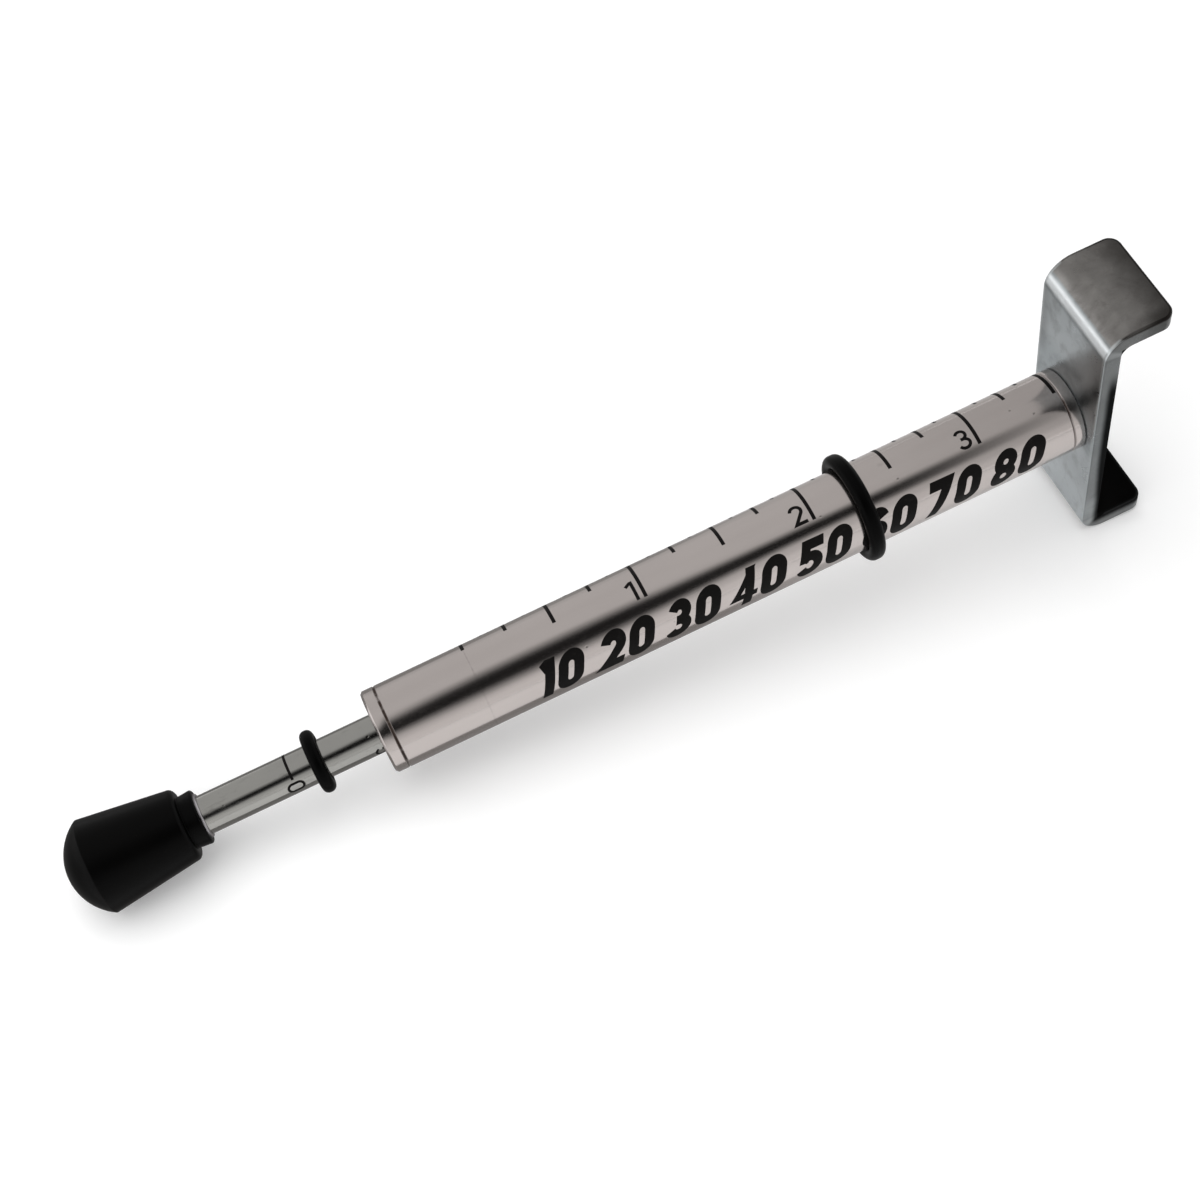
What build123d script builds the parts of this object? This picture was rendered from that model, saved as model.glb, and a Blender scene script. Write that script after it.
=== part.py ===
"""Pencil-type belt tension tester.

A light-alloy barrel carries a U-shaped belt cradle at one end and a sprung
plunger with a tapered rubber knob at the other.  The user pushes the knob, the
cradle presses on the belt, and two rubber rings mark what was reached: the
large one the belt's travel, on the barrel, and the small one the force, on the
plunger rod.

Millimetres.  The origin is the middle of the belt seat, the cradle's inner
face.  +X runs along the tool's axis toward the belt, +Z toward the upper
flange, and the barrel and the plunger lie on the -X side.
"""

import os

from build123d import *

os.makedirs("parts", exist_ok=True)

# Belt cradle: a strip of plated steel bent to a U.
cradle_height = 47.6        # over both flanges
cradle_width = 15.4
cradle_depth = 10.5         # back of the web to the free edge of a flange
cradle_sheet = 2.66
cradle_bend_radius = 1.5    # inside of each bend
cradle_corner_radius = 1.8  # free corners of the flanges
cradle_edge_round = 0.35    # the tumbled edges of the strip

# Screw that holds the cradle on the rear plug.
screw_diameter = 4.0
screw_head_flare = 1.8      # the head's rim stands this far outside the shank
screw_head_sink = 0.15      # the head's face lies under the belt seat
screw_length = 11.0
screw_socket_across_flats = 2.5
screw_socket_depth = 1.4
screw_tip_room = 1.5        # tapped hole goes on past the screw's tip

# Barrel tube and the two plugs that close it.
barrel_diameter = 12.1
barrel_wall = 1.2
tube_length = 102.5
joint_chamfer = 0.15        # both sides of each plug joint
front_flange_length = 2.0
front_face_chamfer = 0.35
front_spigot_length = 10.0
front_lip_length = 1.5      # holds the bush from the outside
rear_flange_length = 1.74
rear_spigot_length = 12.0
spring_pilot_length = 4.0
spigot_lead = 0.4

# Plunger rod, its guide bush and the pieces on its inner end.
rod_diameter = 5.56
rod_exposed = 26.0          # barrel face to the knob's neck, plunger out
bush_wall = 0.8
tail_step = 0.78            # the shoulder that carries the follower
tail_end_length = 1.4       # behind the clip's groove
tail_chamfer = 0.4
follower_length = 8.0
follower_land_length = 2.4
follower_waist_depth = 0.7
washer_thickness = 0.8
stop_washer_thickness = 1.5
clip_thickness = 0.6
clip_groove_depth = 0.4
clip_overhang = 0.65        # beyond the tail, clear of the coil
clip_lobe_diameter = 1.2
clip_float = 0.05

# Return spring, ground flat at both ends.
spring_wire = 1.2
spring_wire_sides = 8
spring_side_room = 0.35     # coil to bore
spring_inner_room = 0.2     # coil to its pilot
spring_turns = 13.0

# Knob and the threaded insert moulded into it.
knob_neck_wall = 0.7        # rubber over the insert
knob_neck_taper = 0.2       # the neck's root is this much slimmer than its mouth
knob_neck_length = 2.2
knob_neck_round = 0.35
knob_shoulder_diameter = 10.2
knob_shoulder_round = 0.85
knob_body_length = 13.3     # shoulder to the rim of the dome
knob_rim_diameter = 13.7
knob_rim_round = 0.3
knob_dome_height = 3.9
insert_wall = 0.45
insert_length = 12.0
insert_stands_proud = 0.3
insert_seat_depth = 3.0     # the rod's full diameter goes this far in
stud_step = 0.38
stud_length = 7.0

# Marker rings.  Stretched on, each section is a little wider than it is high.
force_ring_width = 1.9
force_ring_height = 1.75
force_ring_from_face = 9.0      # barrel face to the ring's middle
travel_ring_width = 2.3
travel_ring_height = 1.9
travel_ring_from_seat = 36.05   # belt seat to the ring's middle

# Fits, each one a radial gap.
press_gap = 0.01
running_gap = 0.05
thread_gap = 0.02
loose_gap = 0.15

# Stations along X, from the belt seat back to the knob.
web_back = -cradle_sheet
tube_rear = web_back - rear_flange_length
tube_front = tube_rear - tube_length
barrel_face = tube_front - front_flange_length
front_spigot_end = tube_front + front_spigot_length
rear_spigot_end = tube_rear - rear_spigot_length
pilot_end = rear_spigot_end - spring_pilot_length
follower_front = front_spigot_end + stop_washer_thickness
follower_rear = follower_front + follower_length
spring_front = follower_rear + washer_thickness
spring_rear = rear_spigot_end - washer_thickness
clip_front = spring_front + clip_float
clip_rear = clip_front + clip_thickness
tail_end = clip_rear + clip_float + tail_end_length
neck_end = barrel_face - rod_exposed
insert_end = neck_end + insert_stands_proud
rod_shoulder = neck_end - insert_seat_depth
shoulder = neck_end - knob_neck_length
knob_rim = shoulder - knob_body_length
knob_apex = knob_rim - knob_dome_height

# Radii, from the axis outward.
barrel_radius = barrel_diameter / 2
bore_radius = barrel_radius - barrel_wall
spigot_radius = bore_radius - press_gap
spring_radius = bore_radius - spring_side_room - spring_wire / 2
spring_inner_radius = spring_radius - spring_wire / 2
pilot_radius = spring_inner_radius - spring_inner_room
rod_radius = rod_diameter / 2
bush_radius = rod_radius + running_gap + bush_wall
tail_radius = rod_radius - tail_step
groove_radius = tail_radius - clip_groove_depth
clip_radius = tail_radius + clip_overhang
stud_radius = rod_radius - stud_step
insert_radius = rod_radius + thread_gap + insert_wall
neck_radius = insert_radius + knob_neck_wall
neck_root_radius = neck_radius - knob_neck_taper

# The turned pieces are drawn as half sections: station along X, radius up Z.
section = Plane.XZ


with BuildPart() as belt_cradle:
    with BuildSketch(section):
        with Locations((web_back + cradle_depth / 2, 0)):
            strip = Rectangle(cradle_depth, cradle_height)
        fillet(strip.vertices().group_by(Axis.X)[0], cradle_bend_radius + cradle_sheet)
        with BuildSketch(section, mode=Mode.PRIVATE) as hollow:
            with Locations((cradle_depth / 2, 0)):
                gap = Rectangle(cradle_depth, cradle_height - 2 * cradle_sheet)
            fillet(gap.vertices().group_by(Axis.X)[0], cradle_bend_radius)
        add(hollow.sketch, mode=Mode.SUBTRACT)
    extrude(amount=cradle_width / 2, both=True)
    free_corners = belt_cradle.edges().filter_by(Axis.Z).group_by(Axis.X)[-1]
    fillet(free_corners, cradle_corner_radius)
    side_faces = belt_cradle.faces().filter_by(Axis.Y)
    fillet(side_faces.edges(), cradle_edge_round)
    # Clearance hole and countersink for the screw, drawn like the turned pieces.
    with BuildSketch(section):
        with BuildLine():
            hole = screw_diameter / 2 + loose_gap
            sink = screw_diameter / 2 + screw_head_flare + screw_head_sink + thread_gap
            Polyline(
                (web_back - cradle_sheet, 0),
                (web_back - cradle_sheet, hole),
                (hole - sink, hole),
                (0, sink),
                (cradle_sheet, sink + cradle_sheet),
                (cradle_sheet, 0),
                close=True,
            )
        make_face()
    revolve(axis=Axis.X, mode=Mode.SUBTRACT)
belt_cradle.part.label = "belt_cradle"
export_step(belt_cradle.part, "parts/belt_cradle.step")


with BuildPart() as cradle_screw:
    head_face = -screw_head_sink
    screw_radius = screw_diameter / 2
    head_radius = screw_radius + screw_head_flare
    with BuildSketch(section):
        with BuildLine():
            Polyline(
                (head_face, 0),
                (head_face, head_radius),
                (head_face - screw_head_flare, screw_radius),
                (head_face - screw_length + tail_chamfer, screw_radius),
                (head_face - screw_length, screw_radius - tail_chamfer),
                (head_face - screw_length, 0),
                close=True,
            )
        make_face()
    revolve(axis=Axis.X)
    with BuildSketch(Plane.YZ.offset(head_face)):
        RegularPolygon(screw_socket_across_flats / 2, 6, major_radius=False)
    extrude(amount=-screw_socket_depth, mode=Mode.SUBTRACT)
cradle_screw.part.label = "cradle_screw"
export_step(cradle_screw.part, "parts/cradle_screw.step")


with BuildPart() as rear_plug:
    tapped_end = -screw_head_sink - screw_length - screw_tip_room
    tapped_radius = screw_diameter / 2 + thread_gap
    with BuildSketch(section):
        with BuildLine():
            Polyline(
                (web_back, tapped_radius),
                (web_back, barrel_radius - joint_chamfer),
                (web_back - joint_chamfer, barrel_radius),
                (tube_rear + joint_chamfer, barrel_radius),
                (tube_rear, barrel_radius - joint_chamfer),
                (tube_rear, spigot_radius),
                (rear_spigot_end + spigot_lead, spigot_radius),
                (rear_spigot_end, spigot_radius - spigot_lead),
                (rear_spigot_end, pilot_radius),
                (pilot_end + spigot_lead, pilot_radius),
                (pilot_end, pilot_radius - spigot_lead),
                (pilot_end, 0),
                (tapped_end - tapped_radius, 0),
                (tapped_end, tapped_radius),
                close=True,
            )
        make_face()
    revolve(axis=Axis.X)
rear_plug.part.label = "rear_plug"
export_step(rear_plug.part, "parts/rear_plug.step")


with BuildPart() as barrel_tube:
    with BuildSketch(Plane.YZ.offset(tube_front)):
        Circle(barrel_radius)
        Circle(bore_radius, mode=Mode.SUBTRACT)
    extrude(amount=tube_length)
    outer_rims = barrel_tube.edges().filter_by(
        lambda e: e.geom_type == GeomType.CIRCLE and abs(e.radius - barrel_radius) < press_gap
    )
    chamfer(outer_rims, joint_chamfer)
barrel_tube.part.label = "barrel_tube"
export_step(barrel_tube.part, "parts/barrel_tube.step")


with BuildPart() as front_plug:
    lip_radius = rod_radius + loose_gap
    seat_end = barrel_face + front_lip_length
    with BuildSketch(section):
        with BuildLine():
            Polyline(
                (barrel_face, lip_radius),
                (barrel_face, barrel_radius - front_face_chamfer),
                (barrel_face + front_face_chamfer, barrel_radius),
                (tube_front - joint_chamfer, barrel_radius),
                (tube_front, barrel_radius - joint_chamfer),
                (tube_front, spigot_radius),
                (front_spigot_end - spigot_lead, spigot_radius),
                (front_spigot_end, spigot_radius - spigot_lead),
                (front_spigot_end, bush_radius),
                (seat_end, bush_radius),
                (seat_end, lip_radius),
                close=True,
            )
        make_face()
    revolve(axis=Axis.X)
front_plug.part.label = "front_plug"
export_step(front_plug.part, "parts/front_plug.step")


with BuildPart() as rod_bush:
    with BuildSketch(Plane.YZ.offset(seat_end)):
        Circle(bush_radius - press_gap)
        Circle(rod_radius + running_gap, mode=Mode.SUBTRACT)
    extrude(amount=front_spigot_end - seat_end)
    bush_bore_rims = rod_bush.edges().filter_by(
        lambda e: e.geom_type == GeomType.CIRCLE and e.radius < rod_radius + loose_gap
    )
    chamfer(bush_bore_rims, joint_chamfer)
rod_bush.part.label = "rod_bush"
export_step(rod_bush.part, "parts/rod_bush.step")


with BuildPart() as stop_washer:
    with BuildSketch(Plane.YZ.offset(front_spigot_end)):
        Circle(bore_radius - loose_gap)
        Circle(rod_radius + loose_gap, mode=Mode.SUBTRACT)
    extrude(amount=stop_washer_thickness)
    chamfer(stop_washer.edges(), joint_chamfer)
stop_washer.part.label = "stop_washer"
export_step(stop_washer.part, "parts/stop_washer.step")


with BuildPart() as spring_follower:
    land_radius = bore_radius - running_gap
    waist_radius = land_radius - follower_waist_depth
    with BuildSketch(section):
        with BuildLine():
            Polyline(
                (follower_front, tail_radius + running_gap),
                (follower_front, land_radius - spigot_lead),
                (follower_front + spigot_lead, land_radius),
                (follower_front + follower_land_length, land_radius),
                (follower_front + follower_land_length, waist_radius),
                (follower_rear - follower_land_length, waist_radius),
                (follower_rear - follower_land_length, land_radius),
                (follower_rear - spigot_lead, land_radius),
                (follower_rear, land_radius - spigot_lead),
                (follower_rear, tail_radius + running_gap),
                close=True,
            )
        make_face()
    revolve(axis=Axis.X)
spring_follower.part.label = "spring_follower"
export_step(spring_follower.part, "parts/spring_follower.step")


with BuildPart() as follower_washer:
    with BuildSketch(Plane.YZ.offset(follower_rear)):
        Circle(bore_radius - loose_gap)
        Circle(tail_radius + running_gap, mode=Mode.SUBTRACT)
    extrude(amount=washer_thickness)
    chamfer(follower_washer.edges().group_by(Axis.X)[-1], joint_chamfer)
follower_washer.part.label = "follower_washer"
export_step(follower_washer.part, "parts/follower_washer.step")


with BuildPart() as rear_spring_washer:
    with BuildSketch(Plane.YZ.offset(spring_rear)):
        Circle(bore_radius - loose_gap)
        Circle(pilot_radius + press_gap, mode=Mode.SUBTRACT)
    extrude(amount=washer_thickness)
    chamfer(rear_spring_washer.edges().group_by(Axis.X)[0], joint_chamfer)
rear_spring_washer.part.label = "rear_spring_washer"
export_step(rear_spring_washer.part, "parts/rear_spring_washer.step")


with BuildPart() as return_spring:
    # The coil runs past both seats by the wire's radius, and is then ground flat.
    # Out of sight in the tube, its wire is eight-sided, as near to round as needed.
    spring_length = spring_rear - spring_front
    coil_length = spring_length + spring_wire
    with BuildLine() as coil:
        Helix(
            pitch=coil_length / spring_turns,
            height=coil_length,
            radius=spring_radius,
            center=(spring_front - spring_wire / 2, 0, 0),
            direction=(1, 0, 0),
        )
    with BuildSketch(Plane(origin=coil.line @ 0, z_dir=coil.line % 0)):
        RegularPolygon(spring_wire / 2, spring_wire_sides)
    sweep(path=coil.line, is_frenet=True)
    with BuildSketch(Plane.YZ.offset(spring_front)):
        Circle(bore_radius)
    extrude(amount=spring_length, mode=Mode.INTERSECT)
return_spring.part.label = "return_spring"
export_step(return_spring.part, "parts/return_spring.step")


with BuildPart() as plunger_rod:
    stud_end = rod_shoulder - stud_length
    with BuildSketch(section):
        with BuildLine():
            Polyline(
                (stud_end, 0),
                (stud_end, stud_radius - tail_chamfer),
                (stud_end + tail_chamfer, stud_radius),
                (rod_shoulder, stud_radius),
                (rod_shoulder, rod_radius - joint_chamfer),
                (rod_shoulder + joint_chamfer, rod_radius),
                (follower_front - joint_chamfer, rod_radius),
                (follower_front, rod_radius - joint_chamfer),
                (follower_front, tail_radius),
                (clip_front, tail_radius),
                (clip_front, groove_radius),
                (clip_rear + clip_float, groove_radius),
                (clip_rear + clip_float, tail_radius),
                (tail_end - tail_chamfer, tail_radius),
                (tail_end, tail_radius - tail_chamfer),
                (tail_end, 0),
                close=True,
            )
        make_face()
    revolve(axis=Axis.X)
plunger_rod.part.label = "plunger_rod"
export_step(plunger_rod.part, "parts/plunger_rod.step")


with BuildPart() as rod_clip:
    # E-clip: three prongs reach into the groove, and the mouth opens downward.
    prong_radius = groove_radius + press_gap
    with BuildSketch(Plane.YZ.offset(clip_front)):
        Circle(clip_radius)
        Circle(prong_radius, mode=Mode.SUBTRACT)
        with PolarLocations(prong_radius + clip_lobe_diameter / 4, 2, start_angle=35, angular_range=110):
            Circle(clip_lobe_diameter / 2, mode=Mode.SUBTRACT)
        with Locations((0, -clip_radius / 2)):
            Rectangle(2 * prong_radius, clip_radius, mode=Mode.SUBTRACT)
    extrude(amount=clip_thickness)
rod_clip.part.label = "rod_clip"
export_step(rod_clip.part, "parts/rod_clip.step")


with BuildPart() as knob_insert:
    insert_inner_end = insert_end - insert_length
    with BuildSketch(section):
        with BuildLine():
            Polyline(
                (insert_end, rod_radius + thread_gap),
                (insert_end, insert_radius - joint_chamfer),
                (insert_end - joint_chamfer, insert_radius),
                (insert_inner_end + spigot_lead, insert_radius),
                (insert_inner_end, insert_radius - spigot_lead),
                (insert_inner_end, stud_radius + thread_gap),
                (rod_shoulder, stud_radius + thread_gap),
                (rod_shoulder, rod_radius + thread_gap),
                close=True,
            )
        make_face()
    revolve(axis=Axis.X)
knob_insert.part.label = "knob_insert"
export_step(knob_insert.part, "parts/knob_insert.step")


with BuildPart() as knob:
    rim_radius = knob_rim_diameter / 2
    dome_radius = (rim_radius**2 + knob_dome_height**2) / (2 * knob_dome_height)
    with BuildSketch(section) as knob_section:
        with BuildLine():
            Polyline(
                (knob_apex, 0),
                (neck_end, 0),
                (neck_end, neck_radius),
                (shoulder, neck_root_radius),
                (shoulder, knob_shoulder_diameter / 2),
                (knob_rim, rim_radius),
            )
            RadiusArc((knob_rim, rim_radius), (knob_apex, 0), -dome_radius)
        make_face()
        corners = knob_section.vertices()
        fillet(corners.sort_by_distance((neck_end, 0, neck_radius))[0], knob_neck_round)
        fillet(corners.sort_by_distance((shoulder, 0, knob_shoulder_diameter / 2))[0], knob_shoulder_round)
        fillet(corners.sort_by_distance((knob_rim, 0, rim_radius))[0], knob_rim_round)
    revolve(axis=Axis.X)
    with BuildSketch(Plane.YZ.offset(neck_end)):
        Circle(insert_radius + press_gap)
    extrude(amount=insert_inner_end - neck_end, mode=Mode.SUBTRACT)
knob.part.label = "knob"
export_step(knob.part, "parts/knob.step")


with BuildPart() as force_ring:
    with BuildSketch(section):
        force_ring_radius = rod_radius + running_gap + force_ring_height / 2
        with Locations((barrel_face - force_ring_from_face, force_ring_radius)):
            SlotOverall(force_ring_width, force_ring_height)
    revolve(axis=Axis.X)
force_ring.part.label = "force_ring"
export_step(force_ring.part, "parts/force_ring.step")


with BuildPart() as travel_ring:
    with BuildSketch(section):
        travel_ring_radius = barrel_radius + running_gap + travel_ring_height / 2
        with Locations((-travel_ring_from_seat, travel_ring_radius)):
            SlotOverall(travel_ring_width, travel_ring_height)
    revolve(axis=Axis.X)
travel_ring.part.label = "travel_ring"
export_step(travel_ring.part, "parts/travel_ring.step")
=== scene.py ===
"""Belt tension tester: its looks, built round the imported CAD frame.

The frame's origin is the middle of the belt seat, +X runs along the tool toward
the belt and +Z toward the cradle's upper flange.  Sizes are written in
millimetres, as in the part's source, and a mesh is scaled to metres when it is
made.  Angles round the barrel start at +Z and grow toward -Y, the side that
carries the scale.
"""

import math

import bmesh
import bpy
from mathutils import Matrix, Vector
from mathutils.geometry import delaunay_2d_cdt


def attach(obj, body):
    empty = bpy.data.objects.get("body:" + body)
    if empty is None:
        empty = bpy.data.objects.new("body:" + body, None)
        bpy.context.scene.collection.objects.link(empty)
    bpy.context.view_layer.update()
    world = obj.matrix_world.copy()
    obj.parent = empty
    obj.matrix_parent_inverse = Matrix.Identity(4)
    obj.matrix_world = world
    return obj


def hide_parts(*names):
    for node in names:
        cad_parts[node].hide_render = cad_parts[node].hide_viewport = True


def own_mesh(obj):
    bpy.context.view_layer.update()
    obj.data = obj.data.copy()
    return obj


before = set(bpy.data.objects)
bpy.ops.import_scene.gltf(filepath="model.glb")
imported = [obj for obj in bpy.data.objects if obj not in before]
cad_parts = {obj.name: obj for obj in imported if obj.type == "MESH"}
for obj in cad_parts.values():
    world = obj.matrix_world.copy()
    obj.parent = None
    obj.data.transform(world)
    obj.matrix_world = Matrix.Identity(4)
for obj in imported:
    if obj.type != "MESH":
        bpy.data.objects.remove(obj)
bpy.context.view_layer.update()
scene = bpy.context.scene
MM = 0.001

# Stations along X and radii, the same as the part's source.
WEB_BACK = -2.66
TUBE_REAR = -4.4
TUBE_FRONT = -106.9
BARREL_FACE = -108.9
FRONT_SPIGOT_END = -96.9
REAR_SPIGOT_END = -16.4
PILOT_END = -20.4
FOLLOWER_FRONT = -95.4
SPRING_FRONT = -86.6
SPRING_REAR = -17.2
CLIP_FRONT = -86.55
CLIP_REAR = -85.9
TAIL_END = -84.5
NECK_END = -134.9
INSERT_END = -134.6
ROD_SHOULDER = -137.9
KNOB_SHOULDER = -137.1
KNOB_RIM = -150.4
KNOB_APEX = -154.3
BARREL_R = 6.05
BORE_R = 4.85
ROD_R = 2.78
TAIL_R = 2.0
GROOVE_R = 1.6
STUD_R = 2.4
INSERT_R = 3.25
NECK_R = 3.95
NECK_ROOT_R = 3.75
SHOULDER_R = 5.1
RIM_R = 6.85
PILOT_R = 3.1
ROD_HOLE_R, BUSH_R, BUSH_FRONT = 2.93, 3.63, -107.4
STUD_END, COLLAR_END = -144.9, -146.6
SCREW_TOP, SCREW_END, SCREW_R, HEAD_R = -0.15, -11.15, 2.0, 3.8
TAPPED_END, TAPPED_R, DRILL_POINT = -12.65, 2.02, -14.67
SINK_R, SCREW_HOLE_R = 3.97, 2.15
KEY, KEY_DEPTH = 2.5, 1.4
WIRE_D, TURNS, COIL_ROOM = 1.2, 13.0, 0.35
RING_ROOM = 0.05
FIT, SLACK = 0.01, 0.02  # radial room of press fits and of threads
BEVEL, LEAD = 0.15, 0.4  # an outer edge's bevel and the bevel at an inner end
SOFT = 0.06  # how far the edges of a bevel are rounded

# The cradle's strip: its sheet, and the inside radius of its bends.
SHEET, WIDTH, DEPTH, HEIGHT = 2.66, 15.4, 10.5, 47.6
INNER_BEND = 1.5
BEND = INNER_BEND + SHEET / 2  # the strip's middle line round a bend
BEND_OUTER = INNER_BEND + SHEET
CORNER, EDGE = 1.8, 0.35
# Lengths along its middle line: the flat part of a flange, a bend and the web.
FLAT, ARC, WEB = DEPTH - SHEET - INNER_BEND, BEND * math.pi / 2, HEIGHT - 2 * BEND_OUTER

# The printed inch scale: its zero, and how far the print drifts round the barrel.
INCH = 25.4
SCALE_ZERO = -93.8
SCALE_DRIFT = 0.0527 / INCH
INK_DEPTH, INK_PROUD = 0.04, 0.012


# ---------------------------------------------------------------- node trees


class Wire:
    """A socket of a node tree.  Arithmetic on it adds Math nodes to that tree."""

    def __init__(self, graph, socket):
        self.graph = graph
        self.socket = socket

    def __add__(self, other):
        return self.graph.math("ADD", self, other)

    def __radd__(self, other):
        return self.graph.math("ADD", other, self)

    def __sub__(self, other):
        return self.graph.math("SUBTRACT", self, other)

    def __rsub__(self, other):
        return self.graph.math("SUBTRACT", other, self)

    def __mul__(self, other):
        return self.graph.math("MULTIPLY", self, other)

    def __rmul__(self, other):
        return self.graph.math("MULTIPLY", other, self)

    def __truediv__(self, other):
        return self.graph.math("DIVIDE", self, other)

    def __neg__(self):
        return self.graph.math("MULTIPLY", self, -1.0)

    def __lt__(self, other):
        return self.graph.math("LESS_THAN", self, other)

    def __abs__(self):
        return self.graph.math("ABSOLUTE", self)


class Graph:
    """A node tree that is being written, for a finish, the studio or a shape."""

    def __init__(self, tree):
        self.tree = tree

    def add(self, kind, sockets=None, out=0, **settings):
        """One node: its type, its sockets' values or links, the output that is wanted, its settings."""
        made = self.tree.nodes.new(kind)
        for key, value in settings.items():
            setattr(made, key, value)
        for key, value in (sockets or {}).items():
            if isinstance(value, Wire):
                self.tree.links.new(value.socket, made.inputs[key])
            else:
                made.inputs[key].default_value = value
        return Wire(self, made.outputs[out]) if made.outputs else None

    def math(self, operation, *values):
        return self.add("ShaderNodeMath", dict(enumerate(values)), operation=operation)

    def larger(self, first, second):
        return self.math("MAXIMUM", first, second)

    def ease(self, value, low, high):
        """0 below low and 1 above high, with a soft step between.  low may be the larger."""
        sockets = {"Value": value, "From Min": low, "From Max": high}
        return self.add("ShaderNodeMapRange", sockets, interpolation_type="SMOOTHSTEP")

    def vector(self, x, y=0.0, z=0.0):
        return self.add("ShaderNodeCombineXYZ", {"X": x, "Y": y, "Z": z})

    def axes(self, place):
        return [self.add("ShaderNodeSeparateXYZ", {0: place}, axis) for axis in "XYZ"]

    def about_x(self, station, radius, angle):
        """The point at this station, radius and angle about the X axis."""
        return self.vector(station, -(radius * self.math("SINE", angle)), radius * self.math("COSINE", angle))


class Finish(Graph):
    """A material on the piece's own coordinates."""

    def __init__(self, name):
        self.material = bpy.data.materials.new(name)
        self.material.use_nodes = True
        super().__init__(self.material.node_tree)
        self.tree.nodes.clear()
        self.place = self.add("ShaderNodeTexCoord", out="Object")
        self.x, self.y, self.z = self.axes(self.place)

    def in_mm(self):
        """Where the surface lies along X, Y and Z, in millimetres."""
        return (along * 1000.0 for along in (self.x, self.y, self.z))

    def mix(self, share, first, second):
        """Colour that goes from first to second, each a link or a plain colour."""
        first, second = (c if isinstance(c, Wire) else (*c, 1.0) for c in (first, second))
        return self.add("ShaderNodeMix", {0: share, 6: first, 7: second}, 2, data_type="RGBA")

    def stretched(self, stretch):
        return self.add("ShaderNodeVectorMath", {0: self.place, 1: stretch}, operation="MULTIPLY")

    def grain(self, stretch, detail=2.0, roughness=0.5, distortion=0.0):
        """Noise whose lumps are about one over stretch metres long on each axis."""
        sockets = {
            "Vector": self.stretched(stretch),
            "Scale": 1.0,
            "Detail": detail,
            "Roughness": roughness,
            "Distortion": distortion,
        }
        return self.add("ShaderNodeTexNoise", sockets, "Fac")

    def specks(self, stretch, size, share):
        """Small spots, one in some of the cells of a grid, softly edged."""
        cells = {"Vector": self.stretched(stretch), "Scale": 1.0}
        near = self.add("ShaderNodeTexVoronoi", cells, "Distance")
        tint = self.add("ShaderNodeTexVoronoi", cells, "Color")
        pick = self.add("ShaderNodeSeparateColor", {0: tint}, "Red")
        return self.ease(near, size, size * 0.4) * (pick < share)

    def bump(self, height, depth, strength, normal=None):
        """A normal over relief of this depth in millimetres, laid on an earlier one."""
        sockets = {"Height": height, "Distance": depth * MM, "Strength": strength}
        if normal is not None:
            sockets["Normal"] = normal
        return self.add("ShaderNodeBump", sockets, "Normal")

    def close(self, **sockets):
        """The surface shader.  A keyword is the socket's name with _ for its spaces."""
        named = {key.replace("_", " "): value for key, value in sockets.items()}
        return self.shade(self.add("ShaderNodeBsdfPrincipled", named))

    def shade(self, shader):
        self.add("ShaderNodeOutputMaterial", {"Surface": shader})
        return self.material


# ------------------------------------------------------------------ finishes


def drawn_alloy():
    """Satin alloy of the tube and its plugs: drawn lines along it, dirt in the plug joints, and painted shade
    on the rear joint.
    """
    f = Finish("satin drawn alloy")
    x, y, z = f.in_mm()
    lines = f.grain((45, 5200, 5200), 3.0, 0.6)
    broad = f.grain((18, 900, 900), 2.0)
    cloud = f.grain((90, 160, 160), 3.0)
    nicks = f.specks((330, 420, 420), 0.085, 0.22)
    stains = f.specks((160, 210, 210), 0.12, 0.16)
    radius = f.math("SQRT", y * y + z * z)
    grimy = 0.35 + 0.65 * f.ease(f.grain((60, 500, 500), 2.0), 0.35, 0.55)
    joint = f.ease(abs(x - TUBE_FRONT), 0.28, 0.16) * grimy
    # The rear joint holds dirt, and high on the scale's side it is darkened further as painted shade that
    # hides its bevels' reflection of the tent.
    rear = f.ease(abs(x - TUBE_REAR), 0.22, 0.13)
    rear = rear * (0.45 + 0.55 * f.ease(y, -1.2, -2.3)) * (1.0 - 0.5 * f.ease(z, 4.8, 3.6))
    grime_and_shade = f.larger(joint, rear) * f.ease(radius, BARREL_R + 0.03, BARREL_R + 0.005)
    scored = f.ease(abs(x - SCALE_ZERO), 0.16, 0.03) * f.ease(lines, 0.35, 0.6)
    colour = f.mix(cloud, (0.512, 0.465, 0.448), (0.562, 0.515, 0.496))
    colour = f.mix(broad * 0.5, colour, (0.608, 0.559, 0.541))
    colour = f.mix(nicks * 0.55, colour, (0.2, 0.18, 0.17))
    colour = f.mix(stains * 0.25, colour, (0.30, 0.27, 0.25))
    colour = f.mix(scored * 0.3, colour, (0.25, 0.22, 0.21))
    # Dirt in the joints, with painted shade on the rear one.
    colour = f.mix(grime_and_shade, colour, (0.045, 0.03, 0.024))
    roughness = 0.09 + 0.08 * lines + 0.05 * cloud + 0.3 * grime_and_shade
    relief = f.bump(lines, 0.003, 0.3)
    relief = f.bump(nicks, -0.02, 0.5, relief)
    return f.close(
        Base_Color=colour, Metallic=1.0 - 0.85 * grime_and_shade, Roughness=roughness, Normal=relief
    )


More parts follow.
